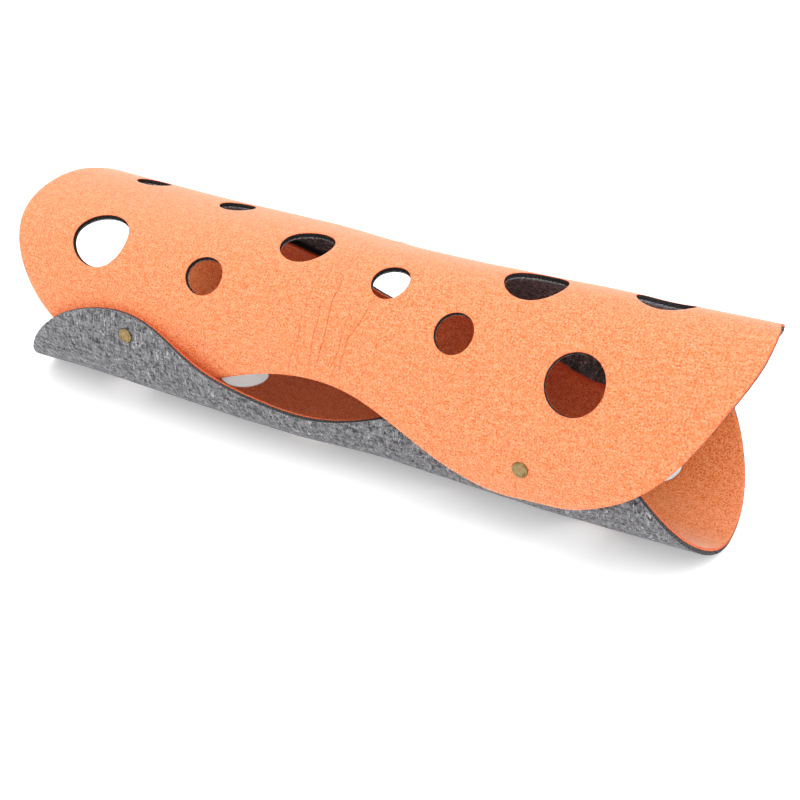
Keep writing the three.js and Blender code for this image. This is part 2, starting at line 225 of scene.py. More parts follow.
# Creases of the arched sheet at its waist, each a run of flat points (along, across), with its
# depth and width in mm. A positive depth is a trough.
CREASES_TOP = (
    dict(run=((-32.0, 168.9), (-32.0, 158.1), (-29.6, 147.6), (-25.4, 131.0), (-26.0, 118.0), (-26.6, 108.7)), depth=0.50, width=0.75),
    dict(run=((-6.8, 166.0), (-6.8, 147.2), (-7.4, 133.4), (-8.0, 119.5), (-7.4, 107.7), (-9.8, 92.9), (-6.8, 84.0)), depth=0.50, width=0.75),
    dict(run=((-0.8, 164.2), (2.8, 147.6), (3.4, 136.9), (5.8, 119.7), (4.6, 110.9), (3.4, 95.4), (2.2, 84.2), (4.0, 71.1), (2.2, 57.5)), depth=0.60, width=0.80),
    dict(run=((18.4, 152.9), (25.6, 132.2), (24.4, 116.8), (25.6, 106.7), (26.2, 96.0)), depth=0.45, width=0.75),
    dict(run=((29.2, 160.6), (30.4, 141.1), (31.6, 128.0), (33.4, 117.4), (40.6, 103.1), (43.6, 92.5), (46.0, 78.8), (46.6, 74.7)), depth=0.55, width=0.75),
    dict(run=((-27.2, 94.3), (-24.8, 77.1), (-23.6, 69.4), (-24.8, 62.2)), depth=0.30, width=0.75),
    dict(run=((-15.2, 87.1), (-14.6, 77.7), (-15.8, 68.8), (-15.2, 56.3), (-17.0, 43.3)), depth=0.30, width=0.75),
    dict(run=((3.4, 55.7), (0.4, 37.3), (-3.8, 13.6), (-12.2, -21.9)), depth=0.28, width=0.75),
    dict(run=((2.8, 39.7), (4.0, 16.6), (-0.2, -1.2)), depth=0.26, width=0.75),
    dict(run=((2.8, 136.9), (7.0, 125.7), (10.6, 119.7)), depth=0.35, width=0.75),
    dict(run=((32.8, 132.2), (32.8, 120.3), (33.4, 109.7), (37.0, 96.6)), depth=0.35, width=0.75),
    dict(run=((65.8, 118.0), (68.2, 102.6), (72.4, 89.5)), depth=0.26, width=0.75),
    dict(run=((-22.4, 169.5), (-22.4, 155.9), (-21.8, 144.6)), depth=0.35, width=0.75),
    dict(run=((20.2, 165.4), (22.6, 152.9), (25.6, 144.1)), depth=0.40, width=0.75),
    dict(run=((235.3, 215.4), (235.0, 235.1)), depth=0.45, width=0.75),
    dict(run=((-3.0, -3.0), (-1.0, -16.0), (1.5, -30.0)), depth=0.40, width=2.20),
    dict(run=((7.0, -38.0), (8.5, -52.0), (9.0, -66.0)), depth=-0.95, width=4.50),
    dict(run=((12.0, 150.0), (14.0, 120.0), (15.0, 90.0)), depth=0.30, width=5.00),
    dict(run=((-16.0, 150.0), (-16.0, 120.0), (-18.0, 90.0)), depth=0.30, width=5.00),
)
CREASES_BOTTOM = (
    dict(run=((368.0, -20.0), (372.0, -46.0), (382.0, -70.0)), depth=-0.25, width=2.2),
    dict(run=((384.0, -8.0), (389.0, -38.0), (398.0, -60.0)), depth=-0.20, width=2.2),
    dict(run=((350.0, 22.0), (362.0, 8.0), (378.0, -2.0)), depth=-0.18, width=2.5),
)


def crease_relief(creases, s, t):
    out = np.zeros_like(s)
    for crease in creases:
        run = np.array(crease["run"])
        low, high = run.min(0) - 6 * crease["width"], run.max(0) + 6 * crease["width"]
        near = (s > low[0]) & (s < high[0]) & (t > low[1]) & (t < high[1])
        if not near.any():
            continue
        q = np.stack([s[near], t[near]], -1)
        best = np.full(len(q), 1e9)
        along = np.zeros(len(q))
        total = np.linalg.norm(np.diff(run, axis=0), axis=1).sum()
        gone = 0.0
        for a, b in zip(run[:-1], run[1:]):
            e = b - a
            length = np.linalg.norm(e)
            u = np.clip(((q - a) @ e) / length**2, 0, 1)
            d = np.linalg.norm(q - (a + u[:, None] * e), axis=1)
            closer = d < best
            best = np.where(closer, d, best)
            along = np.where(closer, (gone + u * length) / total, along)
            gone += length
        fade = np.clip(np.minimum(along, 1 - along) * 5 + 0.25, 0, 1)
        w = crease["width"]
        trough = np.exp(-((best / w) ** 2)) - 0.35 * np.exp(-(((best - 2.2 * w) / (1.3 * w)) ** 2))
        out[near] -= crease["depth"] * fade * trough
    return out


def waves(s, t, table):
    """A sum of soft waves: length, direction in degrees, phase, height."""
    out = np.zeros_like(s)
    for length, direction, phase, height in table:
        a = math.radians(direction)
        out += height * np.sin(2 * np.pi * (s * math.cos(a) + t * math.sin(a)) / length + phase)
    return out


UNEVEN_TOP = ((190, 20, 0.4, 0.30), (123, 75, 1.9, 0.22), (87, -35, 3.1, 0.12), (61, 50, 0.2, 0.08), (39, 110, 2.2, 0.05))
UNEVEN_BOTTOM = ((205, -15, 2.4, 0.28), (131, 60, 0.7, 0.20), (91, -50, 1.3, 0.12), (57, 35, 2.9, 0.08), (41, 100, 0.9, 0.05))
UNEVEN = {"top": UNEVEN_TOP, "bottom": UNEVEN_BOTTOM}
CREASES = {"top": CREASES_TOP, "bottom": CREASES_BOTTOM}


def relief_of(name, s, t):
    return waves(s, t, UNEVEN[name]) + crease_relief(CREASES[name], s, t)


def crease_shade_of(name, s, t):
    """How far into a fine crease each point lies, 0 to 1: how much shade is painted into the crease's colour."""
    lines = [c for c in CREASES[name] if c["width"] < 1]
    return np.clip(crease_relief(lines, s, t) / -0.5, 0, 1)


# ------------------------------------------------------------------ snap places


def snap_frame(x, side, outer, margin):
    sheet = SHEETS[outer]
    s = np.array([x - sheet["slide"]])
    k = coefficients(s + sheet["slide"])
    a = angle_of(sheet, s, side * (half_width(s) - margin), k)[0]
    at = lambda xx, aa: tube_point(np.array([xx]), np.array([aa]), 0.0)[0]
    origin = at(x, a)
    normal = np.cross(at(x + 1, a) - at(x - 1, a), at(x, a + 0.01) - at(x, a - 0.01))
    normal /= np.linalg.norm(normal)
    if normal[1] * math.cos(a) + normal[2] * math.sin(a) < 0:
        normal = -normal
    return settle(origin), normal


def flat_place_of(sheet, point):
    """The flat point of a sheet that lies at a point of the tube, found by walking towards it."""
    s = np.array([point[0] + BOX_CENTRE[0] - sheet["slide"]])
    k = coefficients(s + sheet["slide"])
    best = None
    for t in np.linspace(-250, 250, 501):
        p = settle(tube_point(s + sheet["slide"], angle_of(sheet, s, np.array([t]), k), stand_off(sheet, s, np.array([t])), k))[0]
        d = np.linalg.norm(p - point)
        if best is None or d < best[0]:
            best = (d, t)
    return float(s[0]), best[1]


SNAP_PLACES = {}
POST_HOLES = {"top": [], "bottom": []}
for snap_name, snap_x, snap_side, snap_outer, snap_margin in SNAPS:
    place, normal = snap_frame(snap_x, snap_side, snap_outer, snap_margin)
    SNAP_PLACES[snap_name] = (place, normal)
    for key, sheet in SHEETS.items():
        radius = POST_HOLE["outer" if key == snap_outer else "inner"]
        POST_HOLES[key].append((*flat_place_of(sheet, place + normal * (LAP_OFFSET if key == snap_outer else -LAP_OFFSET)), radius))

# ------------------------------------------------------------------ the felt sheets

GRID = 3.4  # distance between the points of a sheet's faces
EDGE_STEP = 2.4  # distance between the points of its cut edges


def trimmed(name, pts):
    """The outline's points where the cut strays from the plain shape."""
    s, t = pts[:, 0], pts[:, 1]
    ds, dt = np.zeros_like(s), np.zeros_like(t)
    for sheet, side, at, reach, amount in SIDE_TRIMS:
        if sheet == name:
            dt += np.where(np.sign(t) == side, side * amount * near(s, at, reach), 0)
    for sheet, end, at, reach, amount in END_TRIMS:
        if sheet == name:
            outer = np.clip((np.abs(s) - LOBE_AT) / (LENGTH / 2 - LOBE_AT), 0, 1)
            ds += np.where(np.sign(s) == end, end * amount * near(t, at, reach) * outer, 0)
    return np.stack([s + ds, t + dt], -1)


def outline_loop(name):
    """The flat outline of a sheet, evenly spaced, anticlockwise."""
    pts = []
    for i in range(4000):
        f = i / 4000 * 4
        side, u = int(f), f - int(f)
        if side in (0, 2):  # a round end, from one lobe to the other
            a = math.pi * (u - 0.5)
            ca, sa = math.cos(a), math.sin(a)
            bulge = (abs(ca) ** END_ROUNDNESS + abs(sa) ** END_ROUNDNESS) ** (-1 / END_ROUNDNESS)
            sign = 1 if side == 0 else -1
            pts.append((sign * (LOBE_AT + (LENGTH / 2 - LOBE_AT) * ca * bulge), sign * LOBE_HALF_WIDTH * sa * bulge))
        else:
            sign = 1 if side == 1 else -1
            s = sign * LOBE_AT * (1 - 2 * u)
            pts.append((s, sign * float(half_width(np.array([s]))[0])))
    pts = trimmed(name, np.array(pts))
    closed = np.vstack([pts, pts[:1]])
    run = np.concatenate([[0], np.cumsum(np.linalg.norm(np.diff(closed, axis=0), axis=1))])
    count = int(round(run[-1] / EDGE_STEP))
    at = np.arange(count) * run[-1] / count
    return np.stack([np.interp(at, run, closed[:, 0]), np.interp(at, run, closed[:, 1])], -1)


def circle_loop(s, t, radius):
    count = max(28, int(round(2 * math.pi * radius / 2.0)))
    a = np.arange(count) * 2 * math.pi / count
    return np.stack([s + radius * np.cos(a), t + radius * np.sin(a)], -1)


def inside(poly, pts):
    x, y = pts[:, 0], pts[:, 1]
    hit = np.zeros(len(pts), bool)
    a, b = poly, np.roll(poly, -1, axis=0)
    for (x0, y0), (x1, y1) in zip(a, b):
        if y0 == y1:
            continue
        cross = ((y0 > y) != (y1 > y)) & (x < (x1 - x0) * (y - y0) / (y1 - y0) + x0)
        hit ^= cross
    return hit


def near_outline(outline, pts, distance):
    """True where a point is nearer the outline than the distance."""
    close = np.zeros(len(pts), bool)
    cell = 12.0
    keys = {}
    for i, (u, v) in enumerate(outline):
        keys.setdefault((int(u // cell), int(v // cell)), []).append(i)
    for i, (u, v) in enumerate(pts):
        cu, cv = int(u // cell), int(v // cell)
        found = [j for a in (cu - 1, cu, cu + 1) for b in (cv - 1, cv, cv + 1) for j in keys.get((a, b), ())]
        if found:
            d = outline[found] - (u, v)
            close[i] = (d * d).sum(1).min() < distance * distance
    return close


def flat_mesh(name):
    """Points and triangles of the punched flat sheet, and its loops: the outline, then each hole."""
    outline = outline_loop(name)
    circles = [(s, t, r) for sheet, s, t, r in HOLES if sheet == name] + POST_HOLES[name]
    loops = [outline] + [circle_loop(*c) for c in circles]
    rows = []
    j = 0
    y = -LOBE_HALF_WIDTH - 8
    while y < LOBE_HALF_WIDTH + 8:
        start = -LENGTH / 2 - 8 + (GRID / 2 if j % 2 else 0)
        xs = np.arange(start, LENGTH / 2 + 8, GRID)
        rows.append(np.stack([xs, np.full_like(xs, y)], -1))
        y += GRID * 0.866
        j += 1
    grid = np.vstack(rows)
    grid = grid[inside(outline, grid)]
    grid = grid[~near_outline(outline, grid, 0.62 * GRID)]
    for s, t, r in circles:
        grid = grid[np.hypot(grid[:, 0] - s, grid[:, 1] - t) > r + 0.55 * GRID]
    # finer points along the creases
    points = [tuple(p) for loop in loops for p in loop]
    edges = []
    start = 0
    for loop in loops:
        n = len(loop)
        edges += [(start + i, start + (i + 1) % n) for i in range(n)]
        start += n
    extra = []
    for crease in CREASES[name]:
        run = np.array(crease["run"])
        w = crease["width"]
        if w > 3:
            continue
        low, high = run.min(0) - 4 * w, run.max(0) + 4 * w
        step = 0.75 if w < 1 else 1.5
        gx, gy = np.meshgrid(np.arange(low[0], high[0], step), np.arange(low[1], high[1], step))
        cand = np.stack([gx.ravel(), gy.ravel()], -1)
        d = np.full(len(cand), 1e9)
        for a, b in zip(run[:-1], run[1:]):
            e = b - a
            u = np.clip(((cand - a) @ e) / (e @ e), 0, 1)
            d = np.minimum(d, np.linalg.norm(cand - (a + u[:, None] * e), axis=1))
        extra.append(cand[d < 2.4 * w])
    if extra:
        extra = np.vstack(extra)
        extra = extra[inside(outline, extra)]
        extra = extra[~near_outline(outline, extra, 1.2)]
        for s, t, r in circles:
            extra = extra[np.hypot(extra[:, 0] - s, extra[:, 1] - t) > r + 1.2]
        cells = {}
        kept = []
        for p in extra:
            key = (round(p[0] / 0.72), round(p[1] / 0.72))
            if key not in cells:
                cells[key] = True
                kept.append(p)
        extra = np.array(kept)
        fine = {(int(p[0] // 1.4), int(p[1] // 1.4)) for p in extra}
        keep = np.array([(int(p[0] // 1.4), int(p[1] // 1.4)) not in fine for p in grid])
        grid = np.vstack([grid[keep], extra])
    fixed = len(points)
    points += [tuple(p) for p in grid]
    verts, _, faces, *_ = delaunay_2d_cdt([Vector(p) for p in points], edges, [], 0, 1e-5)
    verts = np.array([tuple(v) for v in verts])
    if len(verts) != len(points) or np.abs(verts - np.array(points)).max() > 1e-3:
        raise RuntimeError("the flat sheet's points were changed by the triangulation")
    faces = np.array([f for f in faces if len(f) == 3])
    centre = verts[faces].mean(1)
    keep = inside(outline, centre)
    for loop in loops[1:]:
        keep &= ~inside(loop, centre)
    faces = faces[keep]
    a, b, c = (verts[faces[:, i]] for i in range(3))
    area = (b[:, 0] - a[:, 0]) * (c[:, 1] - a[:, 1]) - (b[:, 1] - a[:, 1]) * (c[:, 0] - a[:, 0])
    faces[area < 0] = faces[area < 0][:, ::-1]
    spans = []
    start = 0
    for loop in loops:
        spans.append((start, len(loop)))
        start += len(loop)
    return verts, faces, spans, float(np.abs(area).sum() / 2)


# depth through the felt, from its orange face to its grey face, and how far the cut edge stands out there
RIM = ((0.0, 0.0), (0.06, 0.35), (0.33, 0.55), (0.43, 0.25), (0.68, 0.55), (0.93, 0.35), (1.0, 0.0))
OUTLINE_LAYERS = (0.34, 0.85)  # the orange layer ends, and the seam ends
HOLE_LAYERS = (0.06, 0.68)


def felt_object(name, orange_outside):
    sheet = SHEETS[name]
    verts, faces, spans, area = flat_mesh(name)
    n = len(verts)
    s, t = verts[:, 0], verts[:, 1]
    relief = relief_of(name, s, t)
    outer = sheet_points(sheet, s, t, FELT / 2, relief)
    inner = sheet_points(sheet, s, t, -FELT / 2, relief)
    points = [outer, inner]
    flat = [verts, verts]
    tris = [faces if sheet["turn"] * 1 > 0 else faces[:, ::-1], None]
    # which way round the outer face is: its normals must point away from the tube's middle
    a, b, c = (outer[faces[:, i]] for i in range(3))
    normal = np.cross(b - a, c - a)
    away = a.copy()
    away[:, 0] = 0
    away[:, 2] -= 115
    flip = (normal * away).sum() < 0
    out_faces = faces[:, ::-1] if flip else faces
    in_faces = (faces if flip else faces[:, ::-1]) + n
    quads, quad_layers = [], []
    base = 2 * n
    rim = RIM if orange_outside else tuple((1 - d, stand) for d, stand in reversed(RIM))
    for span_index, (start, count) in enumerate(spans):
        loop = verts[start:start + count]
        nxt, prv = np.roll(loop, -1, axis=0), np.roll(loop, 1, axis=0)
        tangent = nxt - prv
        tangent /= np.linalg.norm(tangent, axis=1)[:, None]
        outward = np.stack([tangent[:, 1], -tangent[:, 0]], -1)
        if span_index:
            outward = -outward  # a hole's edge stands out into the hole
        rings = [np.arange(start, start + count)]
        for depth, stand in rim[1:-1]:
            uneven = 1 + 0.35 * np.sin(np.arange(count) * 1.7 + depth * 9) * np.sin(np.arange(count) * 0.61 + 2.0)
            q = loop + outward * (stand * uneven)[:, None]
            points.append(sheet_points(sheet, q[:, 0], q[:, 1], FELT / 2 - depth * FELT, relief[start:start + count]))
            flat.append(q + outward * depth * FELT)
            rings.append(np.arange(base, base + count))
            base += count
        rings.append(np.arange(start, start + count) + n)
        for i in range(len(rings) - 1):
            r0, r1 = rings[i], rings[i + 1]
            mid = (rim[i][0] + rim[i + 1][0]) / 2
            for j in range(count):
                m = (j + 1) % count
                # the loops run anticlockwise with the sheet on their left; a hole's runs the other way
                q = (r0[j], r1[j], r1[m], r0[m]) if (span_index == 0) != flip else (r0[m], r1[m], r1[j], r0[j])
                quads.append(q)
                quad_layers.append((mid, HOLE_LAYERS + (5,) if span_index else OUTLINE_LAYERS + (4,)))
    points = np.vstack(points)
    flat = np.vstack(flat)
    polys = [tuple(int(i) for i in f) for f in out_faces] + [tuple(int(i) for i in f) for f in in_faces]
    polys += [tuple(int(i) for i in q) for q in quads]
    mesh = bpy.data.meshes.new("felt_" + name + "_cloth")
    mesh.from_pydata([tuple(p) for p in points * 0.001], [], polys)
    # materials: 0 orange face, 1 grey face; of the cut edge, 2 orange layer, 3 grey layer, 4 the outline's
    # shaded layer between them, 5 the same inside a hole, painted darker for the shade inside the hole
    out_mat, in_mat = (0, 1) if orange_outside else (1, 0)
    index = [out_mat] * len(out_faces) + [in_mat] * len(in_faces)
    for mid, (orange_to, seam_to, between) in quad_layers:
        from_orange = mid if orange_outside else 1 - mid
        index.append(2 if from_orange < orange_to else between if from_orange < seam_to else 3)
    mesh.polygons.foreach_set("material_index", index)
    mesh.polygons.foreach_set("use_smooth", [True] * len(polys))
    uv = mesh.uv_layers.new(name="flat")
    loops = np.empty(len(mesh.loops), np.int32)
    mesh.loops.foreach_get("vertex_index", loops)
    uv.data.foreach_set("uv", (flat[loops] * 0.001).astype(np.float32).ravel())
    # how far into a fine crease each point lies, kept for the shade painted into the orange felt's creases
    crease_shade_amount = np.zeros(len(points), np.float32)
    crease_shade_amount[:n] = crease_shade_of(name, s, t)
    mesh.attributes.new("crease_shade", "FLOAT", "POINT").data.foreach_set("value", crease_shade_amount)
    mesh.validate()
    mesh.update()
    obj = bpy.data.objects.new("felt_" + name + "_cloth", mesh)
    bpy.context.scene.collection.objects.link(obj)
    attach(obj, "root")
    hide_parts(sheet["node"])
    return obj


# ------------------------------------------------------------------ materials


class Nodes:
    """A short way to build a material's node tree."""

    def __init__(self, name):
        self.material = bpy.data.materials.new(name)
        self.material.use_nodes = True
        self.tree = self.material.node_tree
        self.tree.nodes.clear()
        self.out = self.tree.nodes.new("ShaderNodeOutputMaterial")
        self.shader = self.tree.nodes.new("ShaderNodeBsdfPrincipled")
        self.link(self.shader.outputs[0], self.out.inputs[0])

    def link(self, a, b):
        self.tree.links.new(a, b)

    def new(self, kind, **settings):
        node = self.tree.nodes.new(kind)
        for key, value in settings.items():
            setattr(node, key, value)
        return node

    def set(self, node, **values):
        for key, value in values.items():
            node.inputs[key.replace("_", " ")].default_value = value
        return node

    def noise(self, vector, scale, detail=3.0, rough=0.5, distortion=0.0, dims="3D"):
        node = self.new("ShaderNodeTexNoise", noise_dimensions=dims)
        self.set(node, Scale=scale, Detail=detail, Roughness=rough, Distortion=distortion)
        self.link(vector, node.inputs["Vector"])
        return node.outputs["Fac"]

    def ramp(self, value, *stops, interpolation="LINEAR"):
        node = self.new("ShaderNodeValToRGB")
        ramp = node.color_ramp
        ramp.interpolation = interpolation
        while len(ramp.elements) < len(stops):
            ramp.elements.new(0.5)
        for element, (place, colour) in zip(ramp.elements, stops):
            element.position = place
            element.color = (*colour, 1) if len(colour) == 3 else colour
        self.link(value, node.inputs[0])
        return node.outputs[0]

    def mix(self, factor, a, b, blend="MIX"):
        node = self.new("ShaderNodeMix", data_type="RGBA", blend_type=blend)
        if isinstance(factor, float):
            node.inputs[0].default_value = factor
        else:
            self.link(factor, node.inputs[0])
        for socket, value in ((node.inputs[6], a), (node.inputs[7], b)):
            if isinstance(value, tuple):
                socket.default_value = (*value, 1)
            else:
                self.link(value, socket)
        return node.outputs[2]

    def math(self, operation, a, b=None, c=None, clamp=False):
        node = self.new("ShaderNodeMath", operation=operation, use_clamp=clamp)
        for i, value in enumerate((a, b, c)):
            if value is None:
                continue
            if isinstance(value, (int, float)):
                node.inputs[i].default_value = value
            else:
                self.link(value, node.inputs[i])
        return node.outputs[0]

    def bump(self, height, strength, distance, after=None):
        node = self.new("ShaderNodeBump")
        self.set(node, Strength=strength, Distance=distance)
        self.link(height, node.inputs["Height"])
        if after is not None:
            self.link(after, node.inputs["Normal"])
        return node.outputs[0]

    def finish(self, colour, roughness=None, normal=None, **values):
        self.link(colour, self.shader.inputs["Base Color"])
        if roughness is not None:
            if isinstance(roughness, float):
                self.shader.inputs["Roughness"].default_value = roughness
            else:
                self.link(roughness, self.shader.inputs["Roughness"])
        if normal is not None:
            self.link(normal, self.shader.inputs["Normal"])
        self.set(self.shader, **values)
        return self.material

    def flat_place(self, stretch=(1.0, 1.0, 1.0), turn=0.0):
        uv = self.new("ShaderNodeUVMap", uv_map="flat")
        mapping = self.new("ShaderNodeMapping")
        mapping.inputs["Scale"].default_value = stretch
        mapping.inputs["Rotation"].default_value = (0, 0, turn)
        self.link(uv.outputs[0], mapping.inputs["Vector"])
        return mapping.outputs[0]


def orange_felt():
    m = Nodes("orange_felt")
    flat = m.flat_place()
    fibres = m.flat_place((1.0, 0.42, 1.0), 0.5)
    fibres_b = m.flat_place((0.45, 1.0, 1.0), 0.3)
    fine = m.noise(flat, 540, 3, 0.6)
    grain = m.noise(fibres, 300, 3, 0.6, 0.6)
    grain_b = m.noise(fibres_b, 240, 3, 0.6, 0.6)
    clump = m.noise(flat, 110, 3, 0.55)
    broad = m.noise(flat, 16, 3, 0.5)
    low, middle, high = (0.680, 0.160, 0.062), (0.840, 0.250, 0.108), (0.930, 0.345, 0.175)
    colour = m.ramp(grain, (0.36, low), (0.50, middle), (0.64, high))
    second = m.ramp(grain_b, (0.36, low), (0.50, middle), (0.64, high))
    colour = m.mix(0.5, colour, second)
    colour = m.mix(m.ramp(clump, (0.40, (0.0, 0.0, 0.0)), (0.66, (0.22, 0.22, 0.22))), colour, (0.800, 0.222, 0.094))
    colour = m.mix(m.ramp(broad, (0.35, (0.0, 0.0, 0.0)), (0.68, (0.15, 0.15, 0.15))), colour, (0.865, 0.268, 0.120))
    speck = m.ramp(fine, (0.53, (0.0, 0.0, 0.0)), (0.66, (1.0, 1.0, 1.0)))
    colour = m.mix(speck, colour, (0.95, 0.42, 0.24))
    pit = m.ramp(fine, (0.34, (1.0, 1.0, 1.0)), (0.46, (0.0, 0.0, 0.0)))
    colour = m.mix(pit, colour, (0.56, 0.105, 0.038))
    # painted shade: the fine creases' troughs are darkened in the colour, standing in for the shade that falls in them
    crease_shade_amount = m.new("ShaderNodeAttribute", attribute_name="crease_shade").outputs["Fac"]
    colour = m.mix(m.math("MULTIPLY", crease_shade_amount, 0.62, clamp=True), colour, (0.50, 0.085, 0.032))
    height = m.math("ADD", m.math("MULTIPLY", fine, 0.55), m.math("ADD", m.math("MULTIPLY", grain, 0.5), m.math("MULTIPLY", grain_b, 0.5)))
    normal = m.bump(height, 0.65, 0.0010, m.bump(clump, 0.35, 0.0012))
    return m.finish(colour, 0.95, normal, **{"Specular_IOR_Level": 0.12, "Sheen_Weight": 0.80, "Sheen_Roughness": 0.40, "Sheen_Tint": (1.0, 0.80, 0.64, 1)})


def grey_felt():
    m = Nodes("grey_felt")
    flat = m.flat_place()
    a = m.flat_place((1.0, 0.30, 1.0), 0.55)
    b = m.flat_place((0.32, 1.0, 1.0), 0.25)
    c = m.flat_place((1.0, 0.35, 1.0), 1.25)
    grey = (0.150, 0.150, 0.155)
    colour = m.mix(m.ramp(m.noise(a, 270, 3, 0.62, 0.9), (0.42, (0, 0, 0)), (0.56, (1, 1, 1))), (0.048, 0.048, 0.051), (0.235, 0.234, 0.242))
    other = m.mix(m.ramp(m.noise(b, 250, 3, 0.62, 0.9), (0.43, (0, 0, 0)), (0.57, (1, 1, 1))), (0.055, 0.055, 0.058), (0.260, 0.258, 0.266))
    colour = m.mix(0.5, colour, other)
    light = m.ramp(m.noise(c, 330, 3, 0.65, 1.2), (0.57, (0, 0, 0)), (0.67, (0.95, 0.95, 0.95)))
    colour = m.mix(light, colour, (0.500, 0.498, 0.506))
    dark = m.ramp(m.noise(flat, 230, 3, 0.6, 0.4), (0.34, (0.95, 0.95, 0.95)), (0.44, (0, 0, 0)))
    colour = m.mix(dark, colour, (0.026, 0.026, 0.029))
    cloud = m.noise(flat, 60, 3, 0.5)
    colour = m.mix(m.ramp(cloud, (0.35, (0.0, 0.0, 0.0)), (0.70, (0.22, 0.22, 0.22))), colour, grey)
    fine = m.noise(flat, 430, 4, 0.6)
    clump = m.noise(a, 150, 3, 0.6, 0.5)
    normal = m.bump(fine, 0.6, 0.0010, m.bump(clump, 0.45, 0.0012))
    return m.finish(colour, 0.95, normal, **{"Specular_IOR_Level": 0.12, "Sheen_Weight": 0.12, "Sheen_Roughness": 0.5, "Sheen_Tint": (0.9, 0.92, 1.0, 1)})


def cut_edge(name, dark, mid, light):
    m = Nodes(name)
    flat = m.flat_place()
    fine = m.noise(flat, 620, 4, 0.65)
    long = m.noise(flat, 210, 3, 0.6, 0.5)
    colour = m.ramp(fine, (0.38, dark), (0.50, mid), (0.64, light))
    colour = m.mix(m.ramp(long, (0.35, (0, 0, 0)), (0.72, (0.5, 0.5, 0.5))), colour, mid)
    normal = m.bump(fine, 0.8, 0.0010)
    return m.finish(colour, 1.0, normal, **{"Specular_IOR_Level": 0.05})


def aged_brass(name, shade):
    m = Nodes(name)
    place = m.new("ShaderNodeTexCoord").outputs["Object"]
    speck = m.noise(place, 900, 4, 0.65)
    blotch = m.noise(place, 260, 3, 0.6)
    fine = m.noise(place, 2400, 2, 0.5)
    colour = m.ramp(blotch, (0.30, shade[0]), (0.52, shade[1]), (0.72, shade[2]))
    colour = m.mix(m.ramp(speck, (0.52, (0, 0, 0)), (0.66, (0.75, 0.75, 0.75))), colour, (0.215, 0.150, 0.070))
    colour = m.mix(m.ramp(fine, (0.62, (0, 0, 0)), (0.74, (0.6, 0.6, 0.6))), colour, (0.66, 0.60, 0.44))
    rough = m.math("MULTIPLY_ADD", speck, 0.30, 0.32)
    normal = m.bump(speck, 0.18, 0.00025)
    return m.finish(colour, rough, normal, Metallic=0.9)


ORANGE, GREY = orange_felt(), grey_felt()
BRASS = aged_brass("aged_brass", ((0.200, 0.135, 0.058), (0.300, 0.215, 0.100), (0.370, 0.290, 0.160)))
# painted shade: a darker brass for the cap rim's down-turned side and for the groove inside the rim
SHADED_BRASS = aged_brass("shaded_brass", ((0.110, 0.075, 0.035), (0.190, 0.140, 0.070), (0.260, 0.200, 0.110)))
CUT_ORANGE = cut_edge("cut_edge_orange", (0.56, 0.085, 0.040), (0.76, 0.165, 0.085), (0.90, 0.27, 0.16))
CUT_SEAM = cut_edge("cut_edge_seam", (0.040, 0.038, 0.038), (0.080, 0.077, 0.077), (0.170, 0.165, 0.165))
# painted shade: a darker copy of the seam for the cut edges inside the holes, where less light reaches
HOLE_SEAM_SHADE = cut_edge("cut_edge_hole_shade", (0.018, 0.017, 0.017), (0.044, 0.041, 0.041), (0.105, 0.100, 0.100))
CUT_GREY = cut_edge("cut_edge_grey", (0.060, 0.060, 0.062), (0.185, 0.184, 0.190), (0.440, 0.438, 0.448))

for key, orange_outside in (("top", True), ("bottom", False)):
    cloth = felt_object(key, orange_outside)
    for material in (ORANGE, GREY, CUT_ORANGE, CUT_GREY, CUT_SEAM, HOLE_SEAM_SHADE):
        cloth.data.materials.append(material)

# ------------------------------------------------------------------ snap fasteners

# Radius and height along the snap's axis (mm), outwards from the tube's surface. The cap has a
# flat field with a rolled rim.
CAP = ((0, 10.12), (2.5, 10.16), (4.6, 10.18), (5.7, 10.20), (6.1, 10.12), (6.5, 10.30), (6.9, 10.47), (7.4, 10.48), (7.9, 10.30),
       (8.25, 10.0), (8.45, 9.65), (8.50, 9.35), (8.40, 9.13), (8.1, 9.05), (5.0, 9.07), (3.2, 9.07), (3.2, 0.7), (3.4, 0.65),
       (5.7, 0.65), (6.0, 0.55), (6.0, 0.25), (5.8, 0.15), (2.6, 0.15), (2.1, 0.45), (2.1, 3.8), (1.9, 4.0), (0, 4.0))
STUD = ((0, 3.40), (0.9, 3.36), (1.45, 3.15), (1.72, 2.80), (1.72, 2.45), (1.5, 2.0), (1.35, 1.6), (1.35, 0.1), (1.7, -0.25),
        (5.2, -0.25), (5.5, -0.35), (5.5, -0.65), (5.3, -0.75), (2.4, -0.75), (2.4, -9.45), (6.3, -9.45), (6.5, -9.60),
        (6.5, -10.0), (6.2, -10.27), (5.4, -10.35), (2.9, -10.35), (2.5, -10.15), (1.9, -9.75), (0, -9.70))
TURNS = 56


